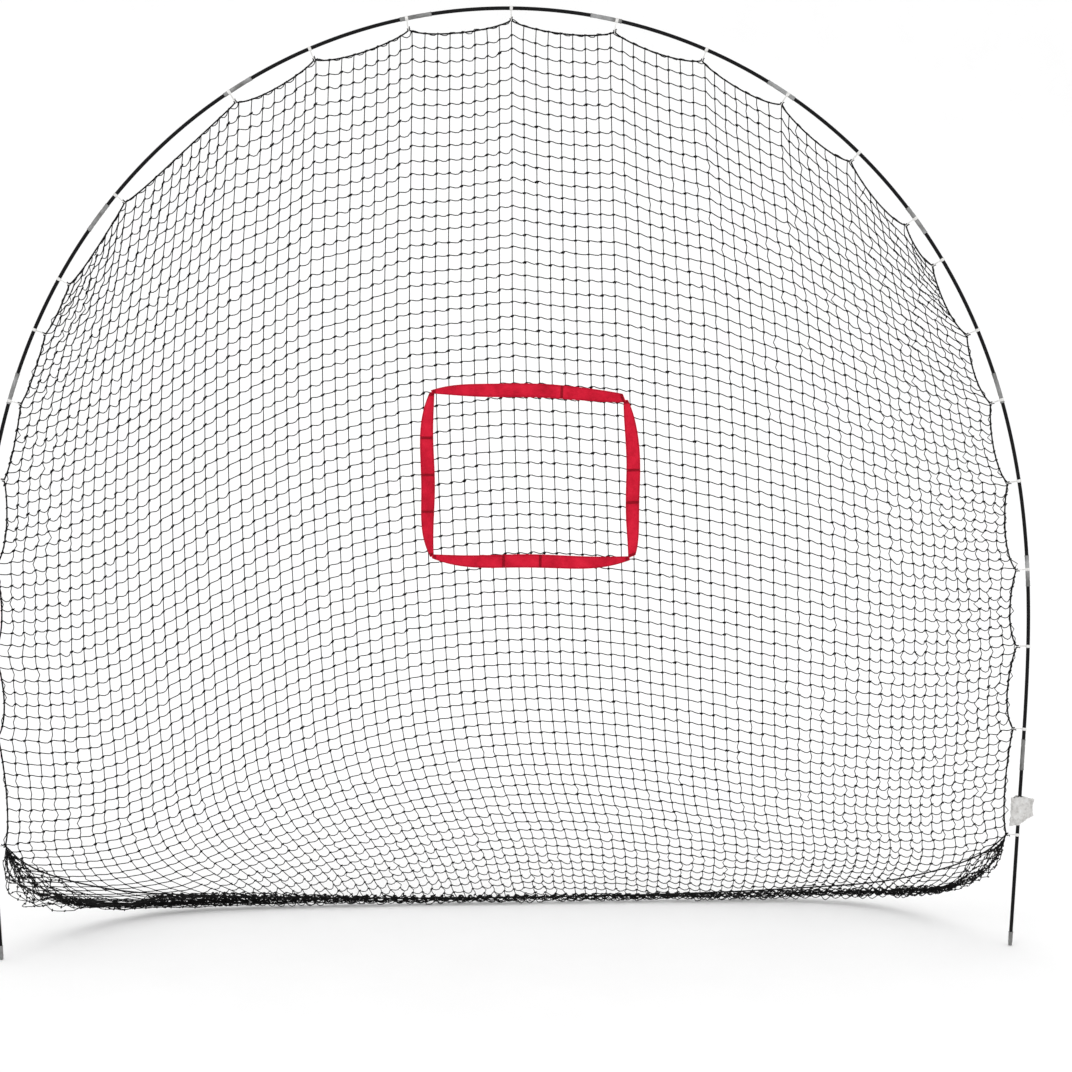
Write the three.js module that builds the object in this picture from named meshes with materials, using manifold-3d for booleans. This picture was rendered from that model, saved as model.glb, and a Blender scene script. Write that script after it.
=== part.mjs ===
// Pitching target net: a tall hoop of socketed fibreglass poles with a net laced inside it.
// Millimetres, +Z up. The pitcher stands at -Y and looks along +Y; +X is to the right.
// The origin is on the ground, at the middle of the object's footprint.
import * as THREE from 'three';
import Module from 'manifold-3d';
import { mergeVertices } from 'three/addons/utils/BufferGeometryUtils.js';

const wasm = await Module();
wasm.setup();

// Hoop: its centreline is measured by the distance s from the crown, positive to the right.
const CROWN_BEND_RADIUS = 1206;
const BENT_LENGTH = 2520; // beyond this distance from the crown the legs are straight
const BEND_FADE = 3.45; // how sharply the bend fades out towards the legs
const HALF_LENGTH = 2980;
const CURVE_STEP = 5;

// Poles and ferrules
const SECTION_LENGTH = 455;
const SECTIONS_PER_SIDE = 6;
const POLE_RADIUS = 4.5;
const POLE_BORE_RADIUS = 2.9;
const POLE_SIDES = 12;
const BORE_SIDES = 6;
const JOINT_GAP = 0.2; // each pole end stops this far from the middle of its ferrule
const FERRULE_LENGTH = 76;
const FERRULE_RADIUS = 5.7;
const FERRULE_BORE_RADIUS = 4.8;

// Foot tips
const TIP_LENGTH = 34;
const TIP_NOSE = 13;
const TIP_RADIUS = 5.9;
const TIP_BORE_RADIUS = 5.1;
const TIP_END_RADIUS = 4.6;
const TIP_TRIM = 3; // extra nose that is ground off level with the floor
const TIP_SIDES = 16;

// Elastic cord inside the poles
const SHOCK_CORD_RADIUS = 1.5;
const SHOCK_CORD_STEPS = 64;

// Ropes around the net
const ROPE_RADIUS = 2.2;
const ROPE_SIDES = 6;
const ROPE_REACH = 27; // from the pole's centre to the rope at a tie
const SCALLOP = 0.4; // depth of the rope's bow between two ties, as a share of their distance
const CORNER_GAP = 2; // between the end of the border rope and the bottom rope
const BORDER_STEPS = 5; // straight steps of the rope between two ties
const BOTTOM_STEPS = 48;

// Ties: an elastic loop around the pole and the rope. Distances from the crown, on each side.
const RIGHT_TIES = [254, 479, 701, 923, 1132, 1251, 1443, 1623, 1826, 2044, 2234, 2439, 2702];
const LEFT_TIES = [250, 490, 707, 1070, 1310, 1444, 1623, 1812, 2024, 2230, 2436, 2702];
const TIE_INNER_RADIUS = 6.4;
const TIE_THICKNESS = 1.2;
const TIE_WIDTH = 6;
const ARC_SEGMENTS = 4;

// Netting: a dished sheet from the ropes back to the ground behind the hoop
const NET_HALF_THICKNESS = 1.5;
const NET_EDGE_GAP = 12; // from the rope's centre to the netting's edge
const NET_CENTRE_HEIGHT = 1000;
const NET_TOP = 2240;
const NET_RINGS = 7;
const SAG_POWER = 1.2; // the net hangs steeply at the top and slants back near the ground
const BULGE_POWER = 2.2; // how full the net bulges between its two sides
const EDGE_POWER = 6; // how close to its edge the net pulls towards the rope
const HEM_DEPTH = 560; // how far behind the hoop the net meets the ground
const HEM_HALF_WIDTH = 1170;
const HEM_BOW = 12;
const HEM_POINTS = 9;

// Target: one webbing strap sewn into a frame on the front of the net
const TARGET_CENTRE_X = 58;
const TARGET_CENTRE_Z = 1150;
const TARGET_HALF_WIDTH = 264;
const TARGET_HALF_HEIGHT = 218;
const TARGET_BOW = 9;
const TARGET_CORNER = 22;
const TARGET_SIDE_POINTS = 9;
const WEBBING_WIDTH = 34;
const WEBBING_THICKNESS = 2;
const WEBBING_GAP = 6;

// Label wrapped round the right leg
const LABEL_START = 2606;
const LABEL_HEIGHT = 70;
const LABEL_LOOP_RADIUS = 8;
const LABEL_WALL = 1.2;
const LABEL_LOOP_BACK = 13;
const LABEL_LOOP_FRONT = 4;
const LABEL_FLAP_REACH = 32;
const LABEL_FLAP_HALF = 0.8;

const TIE_HALF_WIDTH = TIE_INNER_RADIUS + TIE_THICKNESS;
const HOOP_Y = -(HEM_DEPTH + ROPE_RADIUS - TIE_HALF_WIDTH) / 2;
const UP = new THREE.Vector3(0, 1, 0);

function material(color, roughness, metalness) {
  return new THREE.MeshStandardMaterial({ color, roughness, metalness });
}

const fibreglassMaterial = () => material(0x111213, 0.35, 0);
const steelMaterial = () => material(0x9a9c9b, 0.38, 0.9);
const elasticMaterial = () => material(0xe9e7e4, 0.85, 0);
const ropeMaterial = () => material(0x161517, 0.9, 0);
const nettingMaterial = () => material(0x1b1a1c, 0.9, 0);
const webbingMaterial = () => material(0xd21437, 0.75, 0);
const labelMaterial = () => material(0xe6e3df, 0.7, 0);
const shockCordMaterial = () => material(0x2a2a2d, 0.8, 0);

// Angle that the hoop has turned through at distance s from the crown.
function turnAt(s) {
  const bent = Math.min(Math.abs(s), BENT_LENGTH);
  const faded = (BENT_LENGTH / (BEND_FADE + 1)) * (bent / BENT_LENGTH) ** (BEND_FADE + 1);
  return (bent - faded) / CROWN_BEND_RADIUS;
}

// Running position along one half of the hoop, from the crown at (0, 0).
function hoopProfile() {
  const points = [{ x: 0, z: 0 }];
  for (let s = 0; s < HALF_LENGTH; s += CURVE_STEP) {
    const last = points[points.length - 1];
    const turn = turnAt(s + CURVE_STEP / 2);
    points.push({ x: last.x + CURVE_STEP * Math.cos(turn), z: last.z - CURVE_STEP * Math.sin(turn) });
  }
  return points;
}

const profile = hoopProfile();
const HOOP_HEIGHT = -profile[profile.length - 1].z;

function inwardAt(s) {
  const turn = turnAt(s);
  return new THREE.Vector3(-Math.sign(s) * Math.sin(turn), 0, -Math.cos(turn));
}

// Direction of travel away from the left foot and towards the right foot.
function tangentAt(s) {
  const turn = turnAt(s);
  return new THREE.Vector3(Math.cos(turn), 0, -Math.sign(s) * Math.sin(turn));
}

// A point on the hoop's centreline, or inward of it.
function hoopPoint(s, inward = 0) {
  const place = Math.min(Math.abs(s) / CURVE_STEP, profile.length - 1.001);
  const index = Math.floor(place);
  const part = place - index;
  const a = profile[index];
  const b = profile[index + 1];
  const x = Math.sign(s) * (a.x + (b.x - a.x) * part);
  const z = HOOP_HEIGHT + a.z + (b.z - a.z) * part;
  return new THREE.Vector3(x, HOOP_Y, z).addScaledVector(inwardAt(s), inward);
}

// The hoop's centreline between the given distances from the crown.
class HoopPath extends THREE.Curve {
  constructor(stations) {
    super();
    this.stations = stations;
  }

  distanceAt(u) {
    const place = Math.min(u * (this.stations.length - 1), this.stations.length - 1.000001);
    const index = Math.floor(place);
    return THREE.MathUtils.lerp(this.stations[index], this.stations[index + 1], place - index);
  }

  getPointAt(u) {
    return hoopPoint(this.distanceAt(u));
  }

  getTangentAt(u) {
    return tangentAt(this.distanceAt(u));
  }
}

// A rope's centreline: it passes through every given point.
class RopePath extends THREE.Curve {
  constructor(points) {
    super();
    this.points = points;
  }

  getPointAt(u) {
    const place = Math.min(u * (this.points.length - 1), this.points.length - 1.000001);
    const index = Math.floor(place);
    return this.points[index].clone().lerp(this.points[index + 1], place - index);
  }

  getTangentAt(u) {
    const index = Math.round(u * (this.points.length - 1));
    const before = this.points[Math.max(index - 1, 0)];
    const after = this.points[Math.min(index + 1, this.points.length - 1)];
    return after.clone().sub(before).normalize();
  }
}

function polygon(radius, sides) {
  const points = [];
  for (let k = 0; k < sides; k++) {
    const angle = (2 * Math.PI * k) / sides;
    points.push(new THREE.Vector2(radius * Math.cos(angle), radius * Math.sin(angle)));
  }
  return points;
}

function tubeAlong(stations, radius, sides, boreRadius, boreSides) {
  const shape = new THREE.Shape(polygon(radius, sides));
  if (boreRadius > 0) {
    shape.holes.push(new THREE.Path(polygon(boreRadius, boreSides)));
  }
  const settings = { steps: stations.length - 1, extrudePath: new HoopPath(stations), bevelEnabled: false };
  return new THREE.ExtrudeGeometry(shape, settings);
}

function evenStations(start, end, steps) {
  return Array.from({ length: steps + 1 }, (_, k) => THREE.MathUtils.lerp(start, end, k / steps));
}

// A pole's stations: one at each ferrule's edge, so that pole and ferrule bend alike.
function poleStations(start, end) {
  const insert = FERRULE_LENGTH / 2;
  return [start, ...evenStations(start + insert, end - insert, 5), end];
}

function polePiece(start, end) {
  return tubeAlong(poleStations(start, end), POLE_RADIUS, POLE_SIDES, POLE_BORE_RADIUS, BORE_SIDES);
}

function ferrulePiece(middle) {
  const half = FERRULE_LENGTH / 2;
  const stations = [middle - half, middle, middle + half];
  return tubeAlong(stations, FERRULE_RADIUS, POLE_SIDES, FERRULE_BORE_RADIUS, POLE_SIDES);
}

function shockCordPiece() {
  const end = HALF_LENGTH - TIP_NOSE - 2;
  return tubeAlong(evenStations(-end, end, SHOCK_CORD_STEPS), SHOCK_CORD_RADIUS, BORE_SIDES, 0, 0);
}

function toManifold(geometry) {
  const bare = geometry.clone();
  bare.deleteAttribute('normal');
  bare.deleteAttribute('uv');
  const merged = mergeVertices(bare, 1e-4);
  const vertProperties = new Float32Array(merged.attributes.position.array);
  const triVerts = new Uint32Array(merged.index.array);
  return new wasm.Manifold(new wasm.Mesh({ numProp: 3, vertProperties, triVerts }));
}

function fromManifold(solid) {
  const mesh = solid.getMesh();
  const geometry = new THREE.BufferGeometry();
  geometry.setAttribute('position', new THREE.BufferAttribute(new Float32Array(mesh.vertProperties), 3));
  geometry.setIndex(new THREE.BufferAttribute(new Uint32Array(mesh.triVerts), 1));
  geometry.computeVertexNormals();
  return geometry;
}

// A steel cap over the end of the leg, with its nose ground level with the floor.
function footTipPiece(side) {
  const outline = [
    new THREE.Vector2(0, -TIP_TRIM),
    new THREE.Vector2(TIP_END_RADIUS, -TIP_TRIM),
    new THREE.Vector2(TIP_RADIUS, TIP_NOSE / 2),
    new THREE.Vector2(TIP_RADIUS, TIP_LENGTH),
    new THREE.Vector2(TIP_BORE_RADIUS, TIP_LENGTH),
    new THREE.Vector2(TIP_BORE_RADIUS, TIP_NOSE),
    new THREE.Vector2(0, TIP_NOSE),
  ];
  const cap = new THREE.LatheGeometry(outline, TIP_SIDES);
  const legUp = tangentAt(side * HALF_LENGTH).multiplyScalar(-side);
  cap.applyQuaternion(new THREE.Quaternion().setFromUnitVectors(UP, legUp));
  const foot = hoopPoint(side * HALF_LENGTH);
  cap.translate(foot.x, foot.y, foot.z);
  const cutter = new THREE.BoxGeometry(60, 60, 20);
  cutter.translate(foot.x, foot.y, -10);
  return fromManifold(toManifold(cap).subtract(toManifold(cutter)));
}

// A flat ring with straight sides and round ends, from x = 0 to x = reach.
function stadium(target, reach, radius) {
  target.absarc(reach, 0, radius, -Math.PI / 2, Math.PI / 2, false);
  target.absarc(0, 0, radius, Math.PI / 2, (3 * Math.PI) / 2, false);
  target.closePath();
  return target;
}

function tiePiece() {
  const shape = stadium(new THREE.Shape(), ROPE_REACH, TIE_HALF_WIDTH);
  shape.holes.push(stadium(new THREE.Path(), ROPE_REACH, TIE_INNER_RADIUS));
  const settings = { depth: TIE_WIDTH, bevelEnabled: false, curveSegments: ARC_SEGMENTS };
  return new THREE.ExtrudeGeometry(shape, settings).translate(0, 0, -TIE_WIDTH / 2);
}

// A folded slip of film: a loop round the leg and a flap that points away from the net.
function labelPiece() {
  const shape = new THREE.Shape();
  const flapAngle = Math.asin(LABEL_FLAP_HALF / LABEL_LOOP_RADIUS);
  shape.absarc(LABEL_LOOP_FRONT, 0, LABEL_LOOP_RADIUS, -Math.PI / 2, -flapAngle, false);
  shape.lineTo(LABEL_FLAP_REACH, -LABEL_FLAP_HALF);
  shape.lineTo(LABEL_FLAP_REACH, LABEL_FLAP_HALF);
  shape.absarc(LABEL_LOOP_FRONT, 0, LABEL_LOOP_RADIUS, flapAngle, Math.PI / 2, false);
  shape.absarc(-LABEL_LOOP_BACK, 0, LABEL_LOOP_RADIUS, Math.PI / 2, (3 * Math.PI) / 2, false);
  shape.closePath();
  const hole = new THREE.Path();
  const inner = LABEL_LOOP_RADIUS - LABEL_WALL;
  hole.absarc(LABEL_LOOP_FRONT, 0, inner, -Math.PI / 2, Math.PI / 2, false);
  hole.absarc(-LABEL_LOOP_BACK, 0, inner, Math.PI / 2, (3 * Math.PI) / 2, false);
  hole.closePath();
  shape.holes.push(hole);
  const settings = { depth: LABEL_HEIGHT, bevelEnabled: false, curveSegments: ARC_SEGMENTS };
  return new THREE.ExtrudeGeometry(shape, settings);
}

// All tie positions from left to right, the crown tie included.
const tieStations = [...LEFT_TIES.map((s) => -s).reverse(), 0, ...RIGHT_TIES];

// The border rope bows away from the pole between two ties.
function ropeReachAt(s) {
  const next = tieStations.findIndex((tie) => tie > s);
  if (next < 1) {
    return ROPE_REACH;
  }
  const span = tieStations[next] - tieStations[next - 1];
  const part = (s - tieStations[next - 1]) / span;
  return ROPE_REACH + SCALLOP * span * part * (1 - part);
}

function borderPoints(perSpan) {
  const points = [];
  for (let k = 0; k + 1 < tieStations.length; k++) {
    for (let step = 0; step < perSpan; step++) {
      const s = THREE.MathUtils.lerp(tieStations[k], tieStations[k + 1], step / perSpan);
      points.push(hoopPoint(s, ropeReachAt(s)));
    }
  }
  const last = tieStations[tieStations.length - 1];
  points.push(hoopPoint(last, ROPE_REACH));
  return points;
}

// From the lower right tie back and down to the ground, along the hem, and up to the left tie.
function bottomPoints() {
  const corner = hoopPoint(RIGHT_TIES[RIGHT_TIES.length - 1] + TIE_HALF_WIDTH + CORNER_GAP, ROPE_REACH);
  const drop = [
    corner,
    new THREE.Vector3(HEM_HALF_WIDTH + 32, HOOP_Y + 90, 0.62 * corner.z),
    new THREE.Vector3(HEM_HALF_WIDTH + 26, HOOP_Y + 250, 0.24 * corner.z),
    new THREE.Vector3(HEM_HALF_WIDTH + 14, HOOP_Y + 430, 18),
  ];
  const hem = evenStations(HEM_HALF_WIDTH - 20, 20 - HEM_HALF_WIDTH, HEM_POINTS - 1).map((x) => {
    const bow = HEM_BOW * (1 - (x / HEM_HALF_WIDTH) ** 2);
    return new THREE.Vector3(x, HOOP_Y + HEM_DEPTH - bow, ROPE_RADIUS);
  });
  const rise = drop.map((p) => new THREE.Vector3(-p.x, p.y, p.z)).reverse();
  return [...drop, ...hem, ...rise];
}

function ropePiece(points) {
  const shape = new THREE.Shape(polygon(ROPE_RADIUS, ROPE_SIDES));
  const settings = { steps: points.length - 1, extrudePath: new RopePath(points), bevelEnabled: false };
  return new THREE.ExtrudeGeometry(shape, settings);
}

function towardsNetCentre(point, distance) {
  const across = new THREE.Vector3(-point.x, 0, NET_CENTRE_HEIGHT - point.z).normalize();
  return point.clone().addScaledVector(across, distance);
}

// The netting's edge: along the border rope, then down and along the hem.
function netEdge() {
  const bottom = bottomPoints().slice(1, -1);
  return [...borderPoints(2), ...bottom].map((p) => towardsNetCentre(p, NET_EDGE_GAP));
}

// Half the hoop's width at a height.
function halfWidthAt(z) {
  const index = profile.findIndex((point) => HOOP_HEIGHT + point.z < z);
  return profile[index < 0 ? profile.length - 1 : index].x;
}

// How far the hanging net stands behind the hoop at a place inside its edge.
function netDepth(x, z) {
  const middle = HEM_DEPTH * Math.max(1 - z / NET_TOP, 0) ** SAG_POWER;
  const corner = hoopPoint(RIGHT_TIES[RIGHT_TIES.length - 1], ROPE_REACH).z;
  const side = HEM_DEPTH * Math.max(1 - z / corner, 0);
  const across = Math.min(Math.abs(x) / halfWidthAt(z), 1);
  return side + (middle - side) * (1 - across ** BULGE_POWER);
}

// A point between the net's centre (share 0) and a point on its edge (share 1).
function netPoint(edgePoint, share) {
  const across = share * edgePoint.x;
  const height = THREE.MathUtils.lerp(NET_CENTRE_HEIGHT, edgePoint.z, share);
  const hanging = HOOP_Y + netDepth(across, height);
  return new THREE.Vector3(across, THREE.MathUtils.lerp(hanging, edgePoint.y, share ** EDGE_POWER), height);
}

function nettingPiece() {
  const edge = netEdge();
  const count = edge.length;
  const positions = [];
  for (const offset of [-NET_HALF_THICKNESS, NET_HALF_THICKNESS]) {
    const centre = netPoint(edge[0], 0);
    positions.push(centre.x, centre.y + offset, centre.z);
    for (let ring = 1; ring <= NET_RINGS; ring++) {
      for (const corner of edge) {
        const p = netPoint(corner, ring / NET_RINGS);
        positions.push(p.x, p.y + offset, p.z);
      }
    }
  }
  const layer = 1 + NET_RINGS * count;
  const at = (side, ring, k) => side * layer + (ring === 0 ? 0 : 1 + (ring - 1) * count + (k % count));
  const index = [];
  for (let k = 0; k < count; k++) {
    index.push(at(0, 0, 0), at(0, 1, k + 1), at(0, 1, k));
    index.push(at(1, 0, 0), at(1, 1, k), at(1, 1, k + 1));
    for (let ring = 1; ring < NET_RINGS; ring++) {
      const [a, b] = [at(0, ring, k), at(0, ring, k + 1)];
      const [c, d] = [at(0, ring + 1, k), at(0, ring + 1, k + 1)];
      index.push(a, b, d, a, d, c);
      index.push(a + layer, d + layer, b + layer, a + layer, c + layer, d + layer);
    }
    const [front, frontNext] = [at(0, NET_RINGS, k), at(0, NET_RINGS, k + 1)];
    index.push(front, frontNext, frontNext + layer, front, frontNext + layer, front + layer);
  }
  const geometry = new THREE.BufferGeometry();
  geometry.setAttribute('position', new THREE.Float32BufferAttribute(positions, 3));
  geometry.setIndex(index);
  geometry.computeVertexNormals();
  return geometry;
}

// The strap's centreline: four bowed sides joined by short diagonals.
function targetOutline() {
  const points = [];
  for (let side = 0; side < 4; side++) {
    const level = side % 2 === 0;
    const half = level ? TARGET_HALF_WIDTH : TARGET_HALF_HEIGHT;
    const reach = level ? TARGET_HALF_HEIGHT : TARGET_HALF_WIDTH;
    const angle = (side * Math.PI) / 2;
    for (const along of evenStations(TARGET_CORNER - half, half - TARGET_CORNER, TARGET_SIDE_POINTS - 1)) {
      const out = reach + TARGET_BOW * (1 - (along / half) ** 2);
      const x = along * Math.cos(angle) + out * Math.sin(angle);
      const z = along * Math.sin(angle) - out * Math.cos(angle);
      points.push(new THREE.Vector2(x, z));
    }
  }
  return points;
}

function targetPiece() {
  const outline = targetOutline();
  const count = outline.length;
  const positions = [];
  outline.forEach((p, k) => {
    const before = outline[(k + count - 1) % count];
    const after = outline[(k + 1) % count];
    const ahead = after.clone().sub(before).normalize();
    const outward = new THREE.Vector2(ahead.y, -ahead.x);
    for (const across of [WEBBING_WIDTH / 2, -WEBBING_WIDTH / 2]) {
      const x = TARGET_CENTRE_X + p.x + across * outward.x;
      const z = TARGET_CENTRE_Z + p.y + across * outward.y;
      const back = HOOP_Y + netDepth(x, z) - WEBBING_GAP;
      positions.push(x, back, z, x, back - WEBBING_THICKNESS, z);
    }
  });
  // Corners of one station: 0 outer back, 1 outer front, 2 inner back, 3 inner front.
  const order = [0, 1, 3, 2];
  const index = [];
  for (let k = 0; k < count; k++) {
    const here = 4 * k;
    const next = 4 * ((k + 1) % count);
    for (let side = 0; side < 4; side++) {
      const [a, b] = [order[side], order[(side + 1) % 4]];
      index.push(here + a, next + a, next + b, here + a, next + b, here + b);
    }
  }
  const geometry = new THREE.BufferGeometry();
  geometry.setAttribute('position', new THREE.Float32BufferAttribute(positions, 3));
  geometry.setIndex(index);
  geometry.computeVertexNormals();
  return geometry;
}

const hoop = new THREE.Group();

function addPiece(name, geometry, look) {
  const mesh = new THREE.Mesh(geometry, look);
  mesh.name = name;
  hoop.add(mesh);
  return mesh;
}

// Turns a piece so that its own X follows the given direction across the hoop, and Z runs along it.
function faceAlong(mesh, place, across) {
  const along = new THREE.Vector3().crossVectors(across, UP);
  mesh.position.copy(place);
  mesh.quaternion.setFromRotationMatrix(new THREE.Matrix4().makeBasis(across, UP, along));
}

function addPoles() {
  const middle = SECTION_LENGTH / 2 - JOINT_GAP;
  addPiece('crown_pole', polePiece(-middle, middle), fibreglassMaterial());
  for (const [side, sign] of [['right', 1], ['left', -1]]) {
    for (let k = 1; k <= SECTIONS_PER_SIDE; k++) {
      const isLeg = k === SECTIONS_PER_SIDE;
      const joint = SECTION_LENGTH * (k - 0.5);
      const end = isLeg ? HALF_LENGTH - TIP_NOSE - 0.5 : joint + SECTION_LENGTH - JOINT_GAP;
      const ends = [sign * (joint + JOINT_GAP), sign * end].sort((a, b) => a - b);
      const name = isLeg ? `${side}_leg_pole` : `${side}_pole_${k}`;
      addPiece(name, polePiece(...ends), fibreglassMaterial());
      addPiece(`${side}_ferrule_${k}`, ferrulePiece(sign * joint), steelMaterial());
    }
    addPiece(`${side}_foot_tip`, footTipPiece(sign), steelMaterial());
  }
}

function addTies() {
  const addTie = (name, s) => {
    faceAlong(addPiece(name, tiePiece(), elasticMaterial()), hoopPoint(s), inwardAt(s));
  };
  addTie('top_tie', 0);
  RIGHT_TIES.forEach((s, k) => addTie(`right_tie_${k + 1}`, s));
  LEFT_TIES.forEach((s, k) => addTie(`left_tie_${k + 1}`, -s));
}

function addNet() {
  const bottom = new THREE.CatmullRomCurve3(bottomPoints(), false, 'centripetal');
  addPiece('border_rope', ropePiece(borderPoints(BORDER_STEPS)), ropeMaterial());
  addPiece('bottom_rope', ropePiece(bottom.getPoints(BOTTOM_STEPS)), ropeMaterial());
  addPiece('netting', nettingPiece(), nettingMaterial());
  addPiece('target_strap', targetPiece(), webbingMaterial());
}

function addLabel() {
  const outward = inwardAt(LABEL_START).multiplyScalar(-1);
  const label = addPiece('leg_label', labelPiece(), labelMaterial());
  faceAlong(label, hoopPoint(LABEL_START + LABEL_HEIGHT), outward);
}

addPoles();
addPiece('shock_cord', shockCordPiece(), shockCordMaterial());
addTies();
addNet();
addLabel();

export default hoop;
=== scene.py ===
"""Looks of the pitching target net: hoop, laced ball net, strap target and leg label. Metres."""
import math

import bpy
import numpy as np
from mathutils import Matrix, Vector


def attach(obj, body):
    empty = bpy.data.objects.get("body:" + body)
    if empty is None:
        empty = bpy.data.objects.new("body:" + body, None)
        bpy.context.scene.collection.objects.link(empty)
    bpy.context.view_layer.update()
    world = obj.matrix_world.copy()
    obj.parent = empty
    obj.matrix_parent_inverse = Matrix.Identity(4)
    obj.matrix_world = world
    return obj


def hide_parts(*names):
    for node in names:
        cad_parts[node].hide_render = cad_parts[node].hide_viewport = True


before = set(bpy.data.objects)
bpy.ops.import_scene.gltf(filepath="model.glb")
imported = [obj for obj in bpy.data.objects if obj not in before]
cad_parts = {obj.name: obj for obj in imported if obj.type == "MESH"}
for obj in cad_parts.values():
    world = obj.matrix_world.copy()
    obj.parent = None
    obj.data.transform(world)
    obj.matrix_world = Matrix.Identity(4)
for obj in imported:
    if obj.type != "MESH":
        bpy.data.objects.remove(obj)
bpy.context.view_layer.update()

# The hoop, as the CAD draws it. Its centreline is measured by the distance s from the crown.
CROWN_BEND_RADIUS = 1.206
BENT_LENGTH = 2.520
BEND_FADE = 3.45
HALF_LENGTH = 2.980
CURVE_STEP = 0.005
HEM_DEPTH = 0.560
TIE_HALF_WIDTH = 0.0076
ROPE_RADIUS_CAD = 0.0022
HOOP_Y = -(HEM_DEPTH + ROPE_RADIUS_CAD - TIE_HALF_WIDTH) / 2
SECTION_LENGTH = 0.455
SECTIONS_PER_SIDE = 6
TIP_NOSE = 0.013
POLE_RADIUS = 0.0045
POLE_BORE_RADIUS = 0.0029
JOINT_GAP = 0.0002
FERRULE_LENGTH = 0.076
TIP_LENGTH = 0.034
ROPE_REACH = 0.027
RIGHT_TIES = [0.254, 0.479, 0.701, 0.923, 1.132, 1.251, 1.443, 1.623, 1.826, 2.044, 2.234, 2.439, 2.702]
LEFT_TIES = [0.250, 0.490, 0.707, 1.070, 1.310, 1.444, 1.623, 1.812, 2.024, 2.230, 2.436, 2.702]
TIE_STATIONS = np.array([-s for s in reversed(LEFT_TIES)] + [0.0] + RIGHT_TIES)
LABEL_START = 2.606
LABEL_HEIGHT = 0.070
TARGET_CENTRE = (0.053, 1.160)
TAU = 2 * math.pi


def turn_at(s):
    bent = np.minimum(np.abs(s), BENT_LENGTH)
    faded = BENT_LENGTH / (BEND_FADE + 1) * (bent / BENT_LENGTH) ** (BEND_FADE + 1)
    return (bent - faded) / CROWN_BEND_RADIUS


def hoop_profile():
    """Running position along one half of the hoop, from the crown at (0, 0)."""
    turn = turn_at(np.arange(0, HALF_LENGTH - 1e-9, CURVE_STEP) + CURVE_STEP / 2)
    x = np.concatenate([[0], np.cumsum(CURVE_STEP * np.cos(turn))])
    z = np.concatenate([[0], np.cumsum(-CURVE_STEP * np.sin(turn))])
    return x, z


PROFILE_X, PROFILE_Z = hoop_profile()
PROFILE_S = np.arange(len(PROFILE_X)) * CURVE_STEP
HOOP_HEIGHT = -PROFILE_Z[-1]


def inward_at(s):
    turn = turn_at(s)
    return np.stack([-np.sign(s) * np.sin(turn), 0 * turn, -np.cos(turn)], -1)


def tangent_at(s):
    turn = turn_at(s)
    return np.stack([np.cos(turn), 0 * turn, -np.sign(s) * np.sin(turn)], -1)


def hoop_point(s, inward=0.0):
    s = np.asarray(s, float)
    x = np.sign(s) * np.interp(np.abs(s), PROFILE_S, PROFILE_X)
    z = HOOP_HEIGHT + np.interp(np.abs(s), PROFILE_S, PROFILE_Z)
    point = np.stack([x, 0 * x + HOOP_Y, z], -1)
    return point + np.asarray(inward, float)[..., None] * inward_at(s)


# ---- camera, stage and light
CAMERA_BACK = 5.49
CAMERA_HEIGHT = 1.451
CAMERA_X = -0.243
CAMERA_TILT = 4.46
CAMERA_TURN = 3.15
CAMERA_LENS = 76.68
SENSOR_WIDTH = 36
# name, size, energy, place, point it is aimed at
LIGHTS = [
    ("key", 3.0, 32, (-3.0, -4.5, 4.5), (0, 0, 1.0)),
    ("fill", 3.5, 18, (4.0, -4.0, 3.0), (0, 0, 1.0)),
    ("back", 4.0, 30, (0.5, 4.5, 5.0), (0, 2.5, 0.5)),
]


def make_camera():
    data = bpy.data.cameras.new("camera")
    data.lens = CAMERA_LENS
    data.sensor_width = SENSOR_WIDTH
    camera = bpy.data.objects.new("camera", data)
    camera.location = (CAMERA_X, HOOP_Y - CAMERA_BACK, CAMERA_HEIGHT)
    camera.rotation_euler = (math.radians(90 - CAMERA_TILT), 0, math.radians(-CAMERA_TURN))
    bpy.context.scene.collection.objects.link(camera)
    bpy.context.scene.camera = camera


def make_light(name, size, energy, place, aim):
    data = bpy.data.lights.new(name, "AREA")
    data.size = size
    data.energy = energy
    light = bpy.data.objects.new(name, data)
    light.location = place
    light.rotation_euler = (Vector(aim) - Vector(place)).to_track_quat("-Z", "Y").to_euler()
    bpy.context.scene.collection.objects.link(light)


def make_studio():
    world = bpy.data.worlds.new("studio")
    world.use_nodes = True
    background = world.node_tree.nodes["Background"]
    background.inputs["Color"].default_value = (1, 1, 1, 1)
    background.inputs["Strength"].default_value = 1.0
    bpy.context.scene.world = world
    bpy.context.scene.view_settings.view_transform = "Standard"
    for light in LIGHTS:
        make_light(*light)


# ---- materials
WEFT_PITCH = 0.0022
WARP_PITCH = 0.0026
TIE_BRAID_PITCH = (0.0016, 0.0012)


def new_material(name, **sockets):
    """A material whose shader sockets are set by name, with _ for each space."""
    made = bpy.data.materials.new(name)
    made.use_nodes = True
    shader = made.node_tree.nodes["Principled BSDF"]
    for socket, value in sockets.items():
        shader.inputs[socket.replace("_", " ")].default_value = value
    return made, made.node_tree, shader


def paint(tree, shader, source, stops):
    """Colours the shader by a value: stops are (value, (red, green, blue))."""
    stops = [(place, (*colour, 1)) for place, colour in stops]
    made = tree.nodes.new("ShaderNodeValToRGB")
    made.color_ramp.elements[0].position, made.color_ramp.elements[0].color = stops[0]
    made.color_ramp.elements[1].position, made.color_ramp.elements[1].color = stops[-1]
    for place, colour in stops[1:-1]:
        made.color_ramp.elements.new(place).color = colour
    tree.links.new(source, made.inputs["Fac"])
    tree.links.new(made.outputs["Color"], shader.inputs["Base Color"])


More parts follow.
